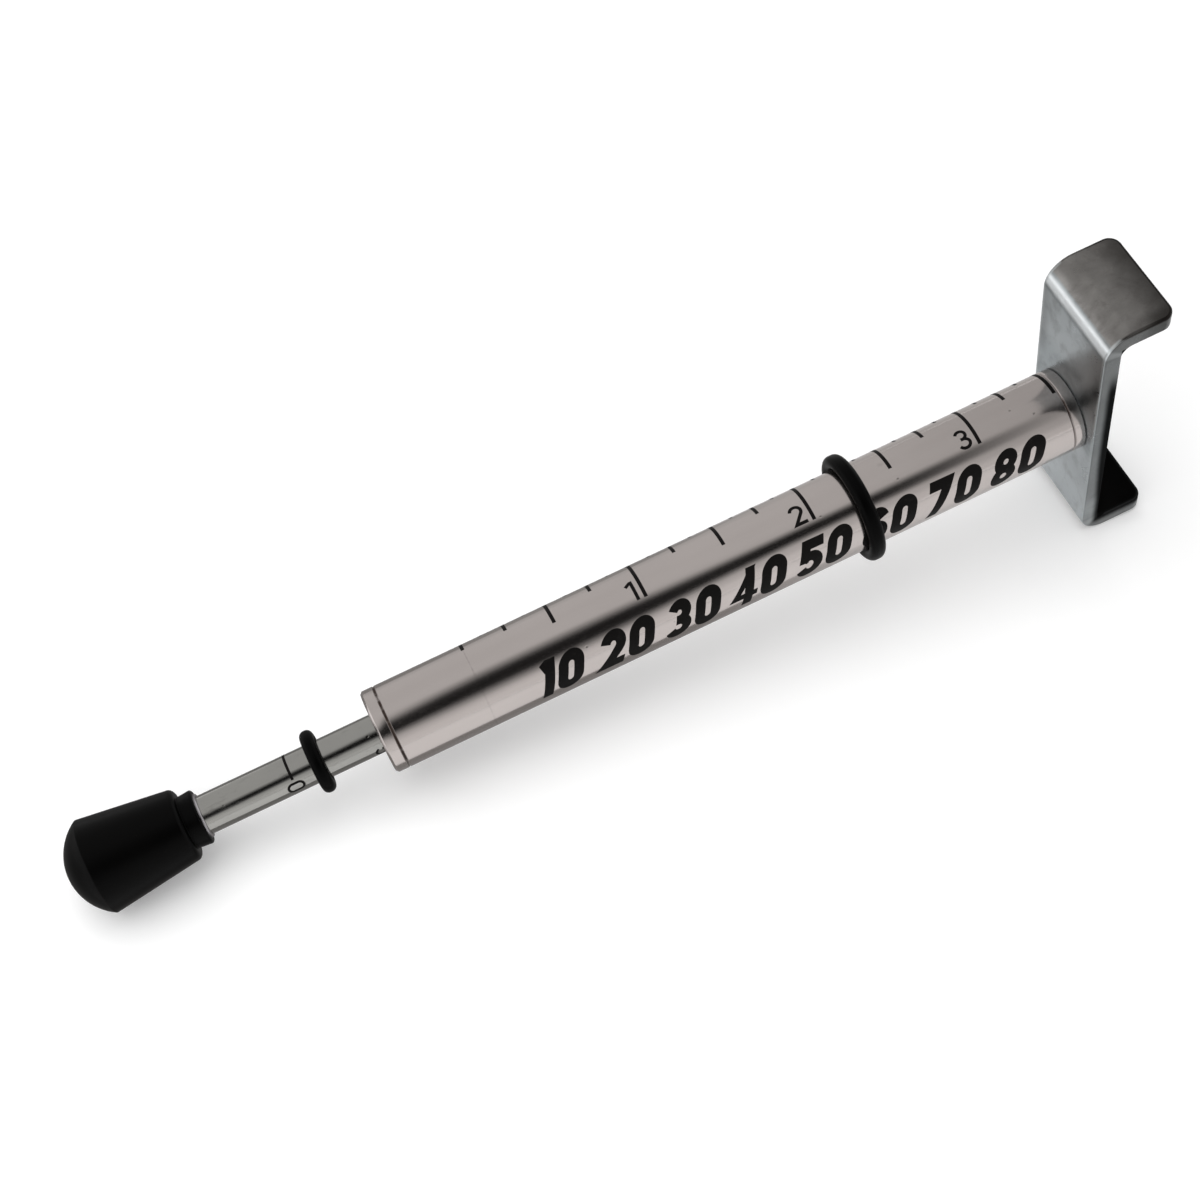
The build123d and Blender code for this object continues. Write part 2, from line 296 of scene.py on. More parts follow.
def ground_steel():
    """The plunger rod: ground steel, dulled, with specks of rust and dirt."""
    f = Finish("ground steel rod")
    lines = f.grain((120, 5200, 5200), 2.0)
    cloud = f.grain((140, 200, 200), 3.0)
    pits = f.specks((380, 520, 520), 0.12, 0.2)
    smears = f.ease(f.grain((260, 900, 900), 4.0, 0.6), 0.55, 0.7)
    colour = f.mix(cloud, (0.345, 0.34, 0.325), (0.40, 0.394, 0.374))
    colour = f.mix(smears * 0.35, colour, (0.25, 0.245, 0.23))
    colour = f.mix(pits * 0.65, colour, (0.11, 0.1, 0.09))
    roughness = 0.1 + 0.06 * lines + 0.1 * smears
    relief = f.bump(lines, 0.006, 0.35)
    relief = f.bump(smears, 0.004, 0.4, relief)
    relief = f.bump(pits, -0.03, 0.5, relief)
    return f.close(Base_Color=colour, Metallic=1.0, Roughness=roughness, Normal=relief)


def zinc_plate():
    """The cradle: bluish zinc, with painted shade beside the barrel, a painted highlight along the bends and
    painted shade blackening the inner faces.
    """
    f = Finish("zinc plated strip")
    x, y, z = f.in_mm()
    fine = f.grain((2600, 2600, 2600), 3.0, 0.6)
    cloud = f.grain((190, 230, 150), 4.0, 0.55, 0.4)
    patches = f.ease(f.grain((300, 330, 260), 5.0, 0.65, 0.2), 0.45, 0.7)
    pits = f.specks((520, 520, 520), 0.13, 0.16)
    rolled = f.grain((900, 120, 900), 2.0)
    half = HEIGHT / 2
    tall = abs(z)
    # Angle round an outer bend, 0 on the flange and a quarter turn on the web.
    bend = f.math("ARCTAN2", INNER_BEND - x, tall - (half - BEND_OUTER))
    corner = f.ease(tall, 19.4, 20.2)
    # Painted highlight: a near-white band partway round each outer bend.
    bend_highlight = f.ease(bend, 0.88, 1.08) * f.ease(bend, 1.44, 1.24) * corner
    top = f.ease(bend, 0.92, 0.8) * f.ease(tall, 20.2, 20.9)
    tip = f.ease(x, 1.8, 8.2)
    rubbed = f.ease(y, -5.2, -6.8) * f.ease(x, 3.0, 5.5)
    # Painted shade on the web just above the barrel, on the near side.
    barrel_shade = f.ease(y, -2.5, -6.5) * f.ease(z, 0.5, 7.5) * (1.0 - top) * (1.0 - bend_highlight)
    # Darker toward the far edge, high on the web.
    far_side_darker = f.ease(y, 4.8, 6.8) * f.ease(z, 5.0, 8.0) * (1.0 - top)
    upper = f.ease(z, 18.5, 20.5)
    # How far out toward the strip's sides and free ends, CORNER at their faces.
    past_y = f.larger(abs(y) - (WIDTH / 2 - CORNER), 0.0)
    past_x = f.larger(x - (DEPTH - SHEET - CORNER), 0.0)
    out = f.math("SQRT", past_x * past_x + past_y * past_y)
    side = f.ease(out, 1.15, 1.4) * f.ease(z, 23.45, 23.2)
    sheared = f.ease(out, CORNER - 0.14, CORNER - 0.05)
    arris = f.ease(out, 1.3, 1.5) * f.ease(z, 23.3, 23.48) * (0.45 + 0.53 * f.ease(x, 1.5, 7.0))
    # Painted shade blackens the inner half of the sides too, less of it low on the web.
    shaded = f.ease(z, 17.0, 12.0) * f.ease(z, -22.8, -21.3) * f.ease(out, 1.4, 1.52)
    shaded = shaded * f.ease(x - 0.55 * f.ease(z, -2.0, -18.0), -1.95, -0.8)
    inner_face_shade = f.ease(x, -0.25, -0.05) * f.ease(tall, half - SHEET + 0.12, half - SHEET)
    inner_face_shade = inner_face_shade * (0.8 + 0.2 * f.ease(tall, 13.0, 20.5))
    # Painted shade: the inner faces and the inner half of the sides are made near black, as if in deep shade.
    dark = f.larger(inner_face_shade, shaded * 0.96)
    # Painted shade and light on the web: darker near the barrel, paler away from it, and palest low down, a
    # painted reflection of the lit floor.
    ends = f.larger(f.ease(tall, 7.0, 13.0), f.ease(z, -0.5, -4.0)) * (1.0 - top)
    low = 0.33 * f.ease(z, -0.5, -4.0) + 0.35 * f.ease(z, -9.0, -16.0)
    colour = f.mix(cloud, (0.22, 0.25, 0.264), (0.315, 0.344, 0.357))
    colour = f.mix(ends, colour, f.mix(cloud, (0.25, 0.275, 0.287), (0.41, 0.436, 0.448)))
    colour = f.mix(ends * low, colour, (0.66, 0.70, 0.72))
    # Painted shade beside the barrel.
    colour = f.mix(barrel_shade * 0.56, colour, (0.11, 0.108, 0.105))
    colour = f.mix(far_side_darker * 0.35, colour, (0.11, 0.112, 0.113))
    colour = f.mix(top * 0.95, colour, f.mix(cloud, (0.085, 0.078, 0.073), (0.37, 0.355, 0.34)))
    colour = f.mix(patches * (0.22 + 0.3 * top), colour, (0.13, 0.12, 0.114))
    colour = f.mix(top * tip * 0.72, colour, (0.022, 0.02, 0.018))
    colour = f.mix(top * rubbed * 0.55, colour, (0.018, 0.016, 0.014))
    # The bends' painted highlight.
    colour = f.mix(bend_highlight, colour, (0.88, 0.91, 0.925))
    colour = f.mix(side * 0.55, colour, (0.46, 0.49, 0.5))
    worn = 0.5 + 0.3 * cloud - 0.22 * f.ease(z, -12.0, -17.0)
    worn = worn + upper * (0.04 + 0.3 * f.ease(x, 0.0, 7.0))
    colour = f.mix(sheared * worn, colour, (0.022, 0.022, 0.02))
    colour = f.mix(arris, colour, (0.016, 0.014, 0.013))
    colour = f.mix(pits * (0.25 + 0.5 * top), colour, (0.05, 0.05, 0.05))
    colour = f.mix(dark * 0.99, colour, (0.0015, 0.0015, 0.0015))
    roughness = 0.2 + 0.12 * cloud + 0.06 * fine + 0.12 * patches + 0.3 * dark
    roughness = roughness + 0.12 * corner * f.ease(bend, 1.12, 1.24)
    relief = f.bump(rolled, 0.006, 0.2)
    relief = f.bump(fine, 0.003, 0.3, relief)
    relief = f.bump(pits, -0.03, 0.6, relief)
    return f.close(
        Base_Color=colour,
        Metallic=1.0 - 0.97 * dark,
        Roughness=roughness,
        Normal=relief,
        Specular_IOR_Level=0.0,
    )


def black_rubber(name, tone, dust, shine):
    """Smooth rubber: a very dark body with a faint bloom and a little dust on it."""
    f = Finish(name)
    skin = f.grain((1500, 1500, 1500), 3.0)
    bloom = f.grain((120, 120, 120), 3.0)
    lint = f.specks((260, 260, 260), 0.07, dust)
    colour = f.mix(bloom, tuple(0.6 * t for t in tone), tuple(1.4 * t for t in tone))
    colour = f.mix(lint * 0.5, colour, (0.12, 0.115, 0.11))
    roughness = 0.27 + 0.1 * bloom + 0.08 * skin
    return f.close(
        Base_Color=colour,
        Roughness=roughness,
        Normal=f.bump(skin, 0.01, 0.35),
        Specular_IOR_Level=shine,
    )


def scale_ink():
    """Black printing ink, a little thin in places."""
    f = Finish("black scale ink")
    thin = f.ease(f.grain((900, 1600, 1600), 3.0), 0.55, 0.85)
    colour = f.mix(thin * 0.5, (0.0045, 0.004, 0.0038), (0.016, 0.015, 0.014))
    return f.close(Base_Color=colour, Roughness=0.42 + 0.15 * thin, Specular_IOR_Level=0.06)


def bright_metal(name, dark, light, roughness, streak):
    """Turned or drawn metal of the small inner pieces."""
    f = Finish(name)
    lines = f.grain(streak, 3.0)
    cloud = f.grain((300, 300, 300), 3.0)
    colour = f.mix(cloud, dark, light)
    return f.close(
        Base_Color=colour,
        Metallic=1.0,
        Roughness=roughness + 0.12 * lines + 0.06 * cloud,
        Normal=f.bump(lines, 0.005, 0.4),
    )


def machined_acetal():
    """White acetal with fine turning marks."""
    f = Finish("machined acetal")
    turning = f.grain((6000, 60, 60), 2.0)
    cloud = f.grain((200, 200, 200), 3.0)
    colour = f.mix(cloud, (0.80, 0.79, 0.745), (0.86, 0.85, 0.81))
    return f.close(
        Base_Color=colour,
        Roughness=0.42 + 0.1 * turning,
        Normal=f.bump(turning, 0.008, 0.4),
    )


# The finish of each material slot.
FINISHES = {
    "barrel_alloy": drawn_alloy(),
    "rod_steel": ground_steel(),
    "plated_strip": zinc_plate(),
    "knob_rubber": black_rubber("moulded knob rubber", (0.0005, 0.00048, 0.00045), 0.1, 0.065),
    "black_rubber": black_rubber("marker ring rubber", (0.0008, 0.0008, 0.0008), 0.02, 0.045),
    "scale_ink": scale_ink(),
    "insert_metal": bright_metal(
        "nickel plated collar", (0.36, 0.345, 0.36), (0.46, 0.445, 0.46), 0.24, (3000, 3000, 3000)
    ),
    "spring_steel": bright_metal(
        "oiled spring wire", (0.26, 0.26, 0.27), (0.36, 0.36, 0.37), 0.26, (900, 5000, 5000)
    ),
    "plated_screw": bright_metal(
        "zinc plated hardware", (0.42, 0.44, 0.45), (0.54, 0.56, 0.56), 0.22, (4000, 4000, 4000)
    ),
    "white_acetal": machined_acetal(),
}


# -------------------------------------------------------------- mesh helpers


def placed(name, data):
    item = bpy.data.objects.new(name, data)
    scene.collection.objects.link(item)
    return item


def shown(name, mesh, body, slot, nodes=(), sharp=30.0):
    """Gives a mesh its slot's finish, evens its shading and hands it to the frame."""
    mesh.materials.clear()
    mesh.materials.append(FINISHES[slot])
    mesh.shade_smooth()
    mesh.set_sharp_from_angle(angle=math.radians(sharp))
    piece = placed(name, mesh)
    even = piece.modifiers.new("even shading", "WEIGHTED_NORMAL")
    even.keep_sharp = True
    settled(piece)
    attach(piece, body)
    if nodes:
        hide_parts(*nodes)
    return piece


def settled(piece):
    """Turns what the modifiers make into the piece's own mesh."""
    bpy.context.view_layer.update()
    graph = bpy.context.evaluated_depsgraph_get()
    shape = bpy.data.meshes.new_from_object(piece.evaluated_get(graph))
    piece.modifiers.clear()
    piece.data = shape
    shape.name = piece.name
    return shape


def from_bmesh(work, outward=True):
    bmesh.ops.remove_doubles(work, verts=work.verts, dist=1e-7)
    if outward:
        bmesh.ops.recalc_face_normals(work, faces=work.faces)
    mesh = bpy.data.meshes.new("shape")
    work.to_mesh(mesh)
    work.free()
    return mesh


def eased(section):
    """Rounds the corners of a closed outline of (station, radius), where a corner radius comes third."""
    steps = 5
    line = []
    for i, (x, r, *corner) in enumerate(section):
        if not corner:
            line.append((x, r))
            continue
        point = Vector((x, r))
        before = (Vector(section[i - 1][:2]) - point).normalized()
        after = (Vector(section[(i + 1) % len(section)][:2]) - point).normalized()
        half = before.angle(after) / 2
        centre = point + (before + after).normalized() * (corner[0] / math.sin(half))
        start = point + before * (corner[0] / math.tan(half)) - centre
        end = point + after * (corner[0] / math.tan(half)) - centre
        for k in range(steps + 1):
            arm = start.normalized().slerp(end.normalized(), k / steps)
            line.append(tuple(centre + arm * corner[0]))
    return line


def about_x(station, radius, angle):
    """The point at this station, radius and angle about the X axis, in metres."""
    return (station * MM, -radius * MM * math.sin(angle), radius * MM * math.cos(angle))


def turned_mesh(section, steps=180):
    """Turns a closed half section of (station, radius) about the X axis."""
    work = bmesh.new()
    rings = []
    for x, r in eased(section):
        if r < 1e-6:
            rings.append([work.verts.new((x * MM, 0, 0))] * steps)
            continue
        rings.append([work.verts.new(about_x(x, r, 2 * math.pi * k / steps)) for k in range(steps)])
    for ring, following in zip(rings, rings[1:] + rings[:1]):
        for k in range(steps):
            m = (k + 1) % steps
            corners = list(dict.fromkeys((ring[k], ring[m], following[m], following[k])))
            if len(corners) > 2:
                work.faces.new(corners)
    return from_bmesh(work)


def carved(mesh, cutter):
    """Takes the cutter's solid out of the mesh."""
    body, tool = placed("stock", mesh), placed("cutter", cutter)
    cut = body.modifiers.new("cut", "BOOLEAN")
    cut.operation, cut.solver, cut.object = "DIFFERENCE", "EXACT", tool
    result = settled(body)
    bpy.data.objects.remove(tool)
    bpy.data.objects.remove(body)
    return result


def shape_tree(name, numbers, material, whole=()):
    """A geometry tree with named inputs, as (graph, {name: Wire}, {name: identifier})."""
    tree = bpy.data.node_groups.new(name, "GeometryNodeTree")
    tree.is_modifier = True
    graph = Graph(tree)
    kinds = {label: "NodeSocketFloat" for label in numbers}
    kinds.update((label, "NodeSocketInt") for label in whole)
    kinds[material] = "NodeSocketMaterial"
    ids = {
        label: tree.interface.new_socket(label, in_out="INPUT", socket_type=kind).identifier
        for label, kind in kinds.items()
    }
    tree.interface.new_socket("Geometry", in_out="OUTPUT", socket_type="NodeSocketGeometry")
    inputs = tree.nodes.new("NodeGroupInput")
    return graph, {label: Wire(graph, inputs.outputs[label]) for label in kinds}, ids


def finish_tree(graph, shape, material):
    whole = graph.add("GeometryNodeRealizeInstances", {"Geometry": shape})
    inked = graph.add("GeometryNodeSetMaterial", {"Geometry": whole, "Material": material})
    graph.add("NodeGroupOutput", {"Geometry": inked})


def grown(tree, ids, values):
    """Runs a geometry tree with these input values and returns the plain mesh."""
    seed = placed("seed", bpy.data.meshes.new("seed"))
    maker = seed.modifiers.new("shape", "NODES")
    maker.node_group = tree
    for label, value in values.items():
        maker[ids[label]] = value
    shape = settled(seed)
    bpy.data.objects.remove(seed)
    return shape


# ------------------------------------------------------------- turned pieces


def turned(name, body, slot, node, section, steps=180, sharp=30.0):
    shown(name, turned_mesh(section, steps), body, slot, [node], sharp)


tube = [
    (TUBE_FRONT, BORE_R),
    (TUBE_FRONT, BARREL_R - BEVEL, 0.04),
    (TUBE_FRONT + BEVEL, BARREL_R, SOFT),
    (TUBE_REAR - BEVEL, BARREL_R, SOFT),
    (TUBE_REAR, BARREL_R - BEVEL, 0.04),
    (TUBE_REAR, BORE_R),
]
turned("barrel_shell", "barrel", "barrel_alloy", "barrel_tube", tube, 240)

front_plug = [
    (BARREL_FACE, ROD_HOLE_R, 0.1),
    (BARREL_FACE, BARREL_R - 0.35, 0.05),
    (BARREL_FACE + 0.35, BARREL_R, SOFT),
    (TUBE_FRONT - BEVEL, BARREL_R, SOFT),
    (TUBE_FRONT, BARREL_R - BEVEL, 0.04),
    (TUBE_FRONT, BORE_R - FIT),
    (FRONT_SPIGOT_END - LEAD, BORE_R - FIT),
    (FRONT_SPIGOT_END, BORE_R - FIT - LEAD),
    (FRONT_SPIGOT_END, BUSH_R),
    (BUSH_FRONT, BUSH_R),
    (BUSH_FRONT, ROD_HOLE_R),
]
turned("front_end_plug", "barrel", "barrel_alloy", "front_plug", front_plug, 240)

rear_plug = [
    (WEB_BACK, TAPPED_R),
    (WEB_BACK, BARREL_R - BEVEL, 0.04),
    (WEB_BACK - BEVEL, BARREL_R, SOFT),
    (TUBE_REAR + BEVEL, BARREL_R, SOFT),
    (TUBE_REAR, BARREL_R - BEVEL, 0.04),
    (TUBE_REAR, BORE_R - FIT),
    (REAR_SPIGOT_END + LEAD, BORE_R - FIT),
    (REAR_SPIGOT_END, BORE_R - FIT - LEAD),
    (REAR_SPIGOT_END, PILOT_R),
    (PILOT_END + LEAD, PILOT_R),
    (PILOT_END, PILOT_R - LEAD),
    (PILOT_END, 0),
    (DRILL_POINT, 0),
    (TAPPED_END, TAPPED_R),
]
turned("rear_end_plug", "barrel", "barrel_alloy", "rear_plug", rear_plug, 240)

rod = [
    (STUD_END, 0),
    (STUD_END, STUD_R - LEAD),
    (STUD_END + LEAD, STUD_R),
    (ROD_SHOULDER, STUD_R),
    (ROD_SHOULDER, ROD_R - BEVEL),
    (ROD_SHOULDER + BEVEL, ROD_R, SOFT),
    (FOLLOWER_FRONT - BEVEL, ROD_R, SOFT),
    (FOLLOWER_FRONT, ROD_R - BEVEL),
    (FOLLOWER_FRONT, TAIL_R),
    (CLIP_FRONT, TAIL_R),
    (CLIP_FRONT, GROOVE_R),
    (CLIP_REAR, GROOVE_R),
    (CLIP_REAR, TAIL_R),
    (TAIL_END - LEAD, TAIL_R),
    (TAIL_END, TAIL_R - LEAD),
    (TAIL_END, 0),
]
turned("plunger_shaft", "plunger", "rod_steel", "plunger_rod", rod)

collar = [
    (INSERT_END, ROD_R + SLACK),
    (INSERT_END, INSERT_R - BEVEL, 0.05),
    (INSERT_END - BEVEL, INSERT_R, 0.05),
    (COLLAR_END + LEAD, INSERT_R),
    (COLLAR_END, INSERT_R - LEAD),
    (COLLAR_END, STUD_R + SLACK),
    (ROD_SHOULDER, STUD_R + SLACK),
    (ROD_SHOULDER, ROD_R + SLACK),
]
turned("knob_collar", "plunger", "insert_metal", "knob_insert", collar)

dome_r = (RIM_R**2 + (KNOB_RIM - KNOB_APEX) ** 2) / (2 * (KNOB_RIM - KNOB_APEX))
dome_half = math.asin(RIM_R / dome_r)
dome = [
    (KNOB_APEX + dome_r * (1 - math.cos(dome_half * k / 24)), dome_r * math.sin(dome_half * k / 24))
    for k in range(22, 0, -1)
]
knob = [
    *dome,
    (KNOB_APEX, 0),
    (COLLAR_END, 0),
    (COLLAR_END, INSERT_R + FIT),
    (NECK_END, INSERT_R + FIT, 0.08),
    (NECK_END, NECK_R, 0.35),
    (KNOB_SHOULDER, NECK_ROOT_R, 0.12),
    (KNOB_SHOULDER, SHOULDER_R, 0.85),
    (KNOB_RIM, RIM_R, 0.3),
]
turned("knob_grip", "plunger", "knob_rubber", "knob", knob, 220, 40)


# -------------------------------------------------------------------- cradle


def strip_line(s):
    """Point and outward direction on the strip's middle line, s from the upper free edge."""
    top = HEIGHT / 2 - SHEET / 2
    if s > FLAT + ARC + WEB / 2:
        (x, z), (nx, nz) = strip_line(2 * (FLAT + ARC) + WEB - s)
        return (x, -z), (nx, -nz)
    if s < FLAT:
        return (DEPTH - SHEET - s, top), (0, 1)
    if s < FLAT + ARC:
        turn = (s - FLAT) / BEND
        out = (-math.sin(turn), math.cos(turn))
        return (INNER_BEND + BEND * out[0], top - BEND + BEND * out[1]), out
    return (-SHEET / 2, top - BEND - (s - FLAT - ARC)), (-1, 0)


def strip_ring(run):
    """The strip's cross section, as (y, height), at a distance from a free edge."""
    half, wide = SHEET / 2, WIDTH / 2
    core = half - EDGE
    reach = min(run, EDGE)
    crown = core + math.sqrt(EDGE**2 - (EDGE - reach) ** 2)

    def reach_y(n):
        inset = EDGE - math.sqrt(max(EDGE**2 - max(abs(n) - core, 0) ** 2, 0))
        corner = CORNER - inset
        past = max(run - inset, 0)
        if past >= corner:
            return wide - inset
        return wide - CORNER + math.sqrt(max(corner**2 - (corner - past) ** 2, 0))

    edge = [core + (crown - core) * math.sin(math.pi / 2 * k / 5) for k in range(5, -1, -1)]
    side = edge + [core / 3, -core / 3] + [-n for n in reversed(edge)]
    ring = [(reach_y(n), n) for n in side]
    across = [1 - 2 * k / 10 for k in range(1, 10)]
    low, high = ring[-1], ring[0]
    ring += [(low[0] * a, low[1]) for a in across]
    ring += [(-y, n) for y, n in [(reach_y(n), n) for n in reversed(side)]]
    ring += [(-high[0] * a, high[1]) for a in across]
    return ring


def strip_mesh():
    """The bent strip: its cross sections from one free edge to the other, closer where it curves."""
    total = 2 * (FLAT + ARC) + WEB
    near = [EDGE * (1 - math.cos(math.pi / 2 * k / 6)) for k in range(7)]
    near += [EDGE + (CORNER - EDGE) * (k / 9) ** 1.5 for k in range(1, 10)]
    near += [4.0, 5.2] + [FLAT + ARC * k / 16 for k in range(17)]
    near += [FLAT + ARC + WEB / 2 * k / 8 for k in range(1, 9)]
    stations = near + [total - s for s in reversed(near[:-1])]
    work = bmesh.new()
    rings = []
    for s in stations:
        (x, z), (nx, nz) = strip_line(s)
        rings.append(
            [
                work.verts.new(((x + n * nx) * MM, y * MM, (z + n * nz) * MM))
                for y, n in strip_ring(min(s, total - s))
            ]
        )
    count = len(rings[0])
    for ring, following in zip(rings, rings[1:]):
        for k in range(count):
            m = (k + 1) % count
            work.faces.new((ring[k], ring[m], following[m], following[k]))
    work.faces.new(rings[0])
    work.faces.new(reversed(rings[-1]))
    bmesh.ops.dissolve_degenerate(work, dist=1e-7, edges=work.edges)
    return from_bmesh(work)


under, over = -5.0, 2.5  # past the web on both sides
countersink = [
    (under, 0),
    (under, SCREW_HOLE_R),
    (SCREW_HOLE_R - SINK_R, SCREW_HOLE_R),
    (0, SINK_R),
    (over, SINK_R + over),
    (over, 0),
]
cradle = carved(strip_mesh(), turned_mesh(countersink, 120))
shown("cradle_strip", cradle, "barrel", "plated_strip", ["belt_cradle"])

screw = [
    (SCREW_TOP, 0),
    (SCREW_TOP, HEAD_R, 0.05),
    (SCREW_TOP - HEAD_R + SCREW_R, SCREW_R),
    (SCREW_END + LEAD, SCREW_R),
    (SCREW_END, SCREW_R - LEAD),
    (SCREW_END, 0),
]
hexagon = bmesh.new()
bmesh.ops.create_cone(
    hexagon,
    cap_ends=True,
    segments=6,
    radius1=KEY / math.sqrt(3) * MM,
    radius2=KEY / math.sqrt(3) * MM,
    depth=2 * KEY_DEPTH * MM,
    matrix=Matrix.Translation((SCREW_TOP * MM, 0, 0)) @ Matrix.Rotation(math.pi / 2, 4, "Y"),
)
screw = carved(turned_mesh(screw, 120), from_bmesh(hexagon))
shown("cradle_screw_turned", screw, "barrel", "plated_screw", ["cradle_screw"])


# --------------------------------------------- shapes grown by geometry trees


def ring_tree():
    """A rubber ring: a slot-shaped section carried round a circle about X."""
    numbers = ("Middle radius", "Width", "Height", "Station")
    g, size, ids = shape_tree("marker ring", numbers, "Rubber")
    sheet = g.add(
        "GeometryNodeMeshGrid", {"Size X": 1.0, "Size Y": 1.0, "Vertices X": 161, "Vertices Y": 41}
    )
    along, round_section, _ = g.axes(g.add("GeometryNodeInputPosition"))
    section = round_section * (2 * math.pi)
    lobe = size["Height"] * 0.5
    slack = (size["Width"] - size["Height"]) * 0.5
    side = g.math("COSINE", section)
    reach = g.math("MINIMUM", g.larger(side * 6.0, -1.0), 1.0)
    place = g.about_x(
        size["Station"] + lobe * side + slack * reach,
        size["Middle radius"] + lobe * g.math("SINE", section),
        along * (2 * math.pi),
    )
    bent = g.add("GeometryNodeSetPosition", {"Geometry": sheet, "Position": place})
    closed = g.add("GeometryNodeMergeByDistance", {"Geometry": bent, "Distance": 1e-6})
    finish_tree(g, closed, size["Rubber"])
    return g.tree, ids


def tick_tree():
    """Ruled lines wrapped round a cylinder: equal steps along X, from one angle to another."""
    numbers = ("Radius", "First", "Step", "Line width", "Line depth", "Proud")
    angles = ("From angle", "To angle", "Zero", "Drift")
    g, size, ids = shape_tree("ruled lines", numbers + angles, "Ink", ["Count"])
    stations = g.add(
        "GeometryNodeMeshLine",
        {"Count": size["Count"], "Start Location": g.vector(size["First"]), "Offset": g.vector(size["Step"])},
        mode="OFFSET",
    )
    slab = g.vector(size["Line width"], 1.0, size["Line depth"])
    bar = g.add("GeometryNodeMeshCube", {"Size": slab, "Vertices X": 2, "Vertices Y": 25, "Vertices Z": 2})
    bars = g.add("GeometryNodeInstanceOnPoints", {"Points": stations, "Instance": bar})
    laid = g.add("GeometryNodeRealizeInstances", {"Geometry": bars})
    x, y, z = g.axes(g.add("GeometryNodeInputPosition"))
    along = size["From angle"] + (y + 0.5) * (size["To angle"] - size["From angle"])
    angle = along + (x - size["Zero"]) * size["Drift"]
    radius = size["Radius"] + size["Proud"] + z - size["Line depth"] * 0.5
    place = g.about_x(x, radius, angle)
    bent = g.add("GeometryNodeSetPosition", {"Geometry": laid, "Position": place})
    finish_tree(g, bent, size["Ink"])
    return g.tree, ids


def coil_tree():
    """A coil spring: round wire carried along a helix about X."""
    numbers = ("Coil radius", "Wire radius", "Length", "Turns", "Station")
    g, size, ids = shape_tree("coil spring", numbers, "Wire")
    path = g.add(
        "GeometryNodeCurveSpiral",
        {
            "Resolution": 48,
            "Rotations": size["Turns"],
            "Start Radius": size["Coil radius"],
            "End Radius": size["Coil radius"],
            "Height": size["Length"],
        },
    )
    start, turn = g.vector(size["Station"]), (0.0, math.pi / 2, 0.0)
    laid = g.add("GeometryNodeTransform", {"Geometry": path, "Translation": start, "Rotation": turn})
    section = g.add("GeometryNodeCurvePrimitiveCircle", {"Resolution": 14, "Radius": size["Wire radius"]})
    wire = g.add("GeometryNodeCurveToMesh", {"Curve": laid, "Profile Curve": section, "Fill Caps": True})
    finish_tree(g, wire, size["Wire"])
    return g.tree, ids


RING_TREE, ring_ids = ring_tree()
for name, body, node, station, inner, width, height in (
    ("small_marker_ring", "force_marker", "force_ring", -117.9, ROD_R, 1.9, 1.75),
    ("large_marker_ring", "travel_marker", "travel_ring", -36.05, BARREL_R, 2.3, 1.9),
):
    ring = grown(
        RING_TREE,
        ring_ids,
        {
            "Middle radius": (inner + RING_ROOM + height / 2) * MM,
            "Width": width * MM,
            "Height": height * MM,
            "Station": station * MM,
            "Rubber": FINISHES["black_rubber"],
        },
    )
    work = bmesh.new()
    work.from_mesh(ring)
    shown(name, from_bmesh(work), body, "black_rubber", [node], 60)

COIL_TREE, coil_ids = coil_tree()
coil = grown(
    COIL_TREE,
    coil_ids,
    {
        "Coil radius": (BORE_R - COIL_ROOM - WIRE_D / 2) * MM,
        "Wire radius": WIRE_D / 2 * MM,
        "Length": (SPRING_REAR - SPRING_FRONT + WIRE_D) * MM,
        "Turns": TURNS,
        "Station": (SPRING_FRONT - WIRE_D / 2) * MM,
        "Wire": FINISHES["spring_steel"],
    },
)
# The spring's ends are ground flat.
work = bmesh.new()
work.from_mesh(coil)
for station, facing in ((SPRING_FRONT, -1), (SPRING_REAR, 1)):
    cut = bmesh.ops.bisect_plane(
        work,
        geom=[*work.verts, *work.edges, *work.faces],
        plane_co=(station * MM, 0, 0),
        plane_no=(facing, 0, 0),
        clear_outer=True,
    )
    rim = [e for e in cut["geom_cut"] if isinstance(e, bmesh.types.BMEdge)]
    bmesh.ops.holes_fill(work, edges=rim, sides=0)
spring = shown("coil_spring", from_bmesh(work), "barrel", "spring_steel", ["return_spring"], 50)
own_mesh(spring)

TICK_TREE, tick_ids = tick_tree()


def ruled(name, body, radius, first, step, count, width, start, end):
    """A row of printed lines.  Stations and sizes in mm, angles in radians at the scale's zero."""
    lines = grown(
        TICK_TREE,
        tick_ids,
        {
            "Radius": radius * MM,
            "First": first * MM,
            "Step": step * MM,
            "Count": count,
            "Line width": width * MM,
            "Line depth": INK_DEPTH * MM,
            "Proud": INK_PROUD * MM,
            "From angle": start,
            "To angle": end,
            "Zero": SCALE_ZERO * MM,
            "Drift": SCALE_DRIFT / MM if body == "barrel" else 0.0,
            "Ink": FINISHES["scale_ink"],
        },
    )
    shown(name, lines, body, "scale_ink")


TICK_HEAD = -1.33  # where all lines of the barrel's scale end, out of the photograph's sight
INCH_FOOT = 0.262  # where the inch lines begin and their numerals stand
for name, first, step, count, width, foot in (
    ("inch_lines", INCH, INCH, 3, 0.52, INCH_FOOT),
    ("half_inch_lines", INCH / 2, INCH, 4, 0.52, -0.090),
    ("quarter_inch_lines", INCH / 4, INCH / 2, 7, 0.5, -0.528),
    ("zero_line", 0.0, INCH, 1, 0.5, -0.528),
    ("eighth_inch_lines", INCH / 8, INCH / 4, 14, 0.46, -0.95),
):
    ruled(name, "barrel", BARREL_R, SCALE_ZERO + first, step, count, width, TICK_HEAD, foot)
ruled(
    "rod_lines", "plunger", ROD_R, first=-121.8, step=13.1, count=2, width=0.38, start=-1.3, end=0.80
)


# ------------------------------------------------------------------ numerals


